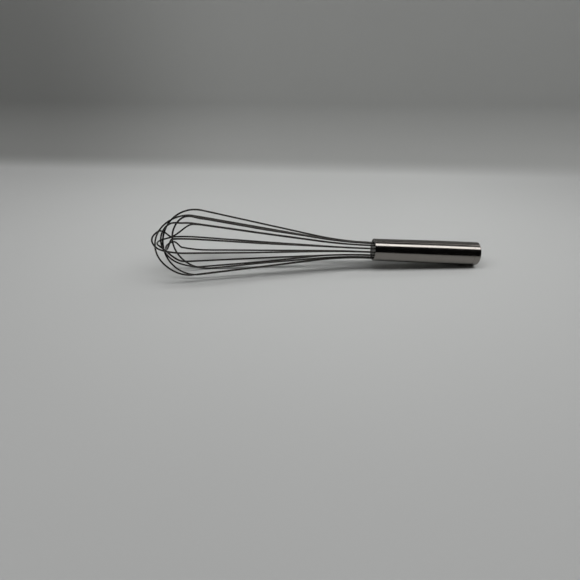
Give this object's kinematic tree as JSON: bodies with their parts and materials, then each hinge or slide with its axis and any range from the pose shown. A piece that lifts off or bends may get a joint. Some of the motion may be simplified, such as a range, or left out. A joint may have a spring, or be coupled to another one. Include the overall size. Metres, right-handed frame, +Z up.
{
  "type": "balloon whisk",
  "caption": "Hand whisk: round steel tube handle closed at the butt, with crossing spring-wire loops that form a pear-shaped balloon.",
  "frame": {"origin": "on the table, under the middle of the whisk's box, as it lies on its balloon and its butt", "axes": "+X along the whisk's length from the balloon to the butt, +Z up from the table, +Y to the far side"},
  "size_m": [0.2999, 0.0609, 0.0585],
  "materials": {
    "handle_steel": "lengthwise brushed and worn to a shine",
    "cap_steel": "brushed round the edge",
    "wire_steel": "drawn spring wire, dull polish",
    "inner_steel": "plain sheet",
    "seal_resin": "cast grey epoxy, rough",
    "core_plastic": "moulded"
  },
  "bodies": {
    "root": {"handle_tube": "handle_steel", "butt_cap": "cap_steel", "wire_seal": "seal_resin", "wire_guide": "inner_steel", "core_plug": "core_plastic", "crimp_band": "inner_steel", "wire_loop_1": "wire_steel", "wire_loop_2": "wire_steel", "wire_loop_3": "wire_steel", "wire_loop_4": "wire_steel", "wire_loop_5": "wire_steel", "wire_loop_6": "wire_steel", "wire_loop_7": "wire_steel"}
  },
  "joints": []
}
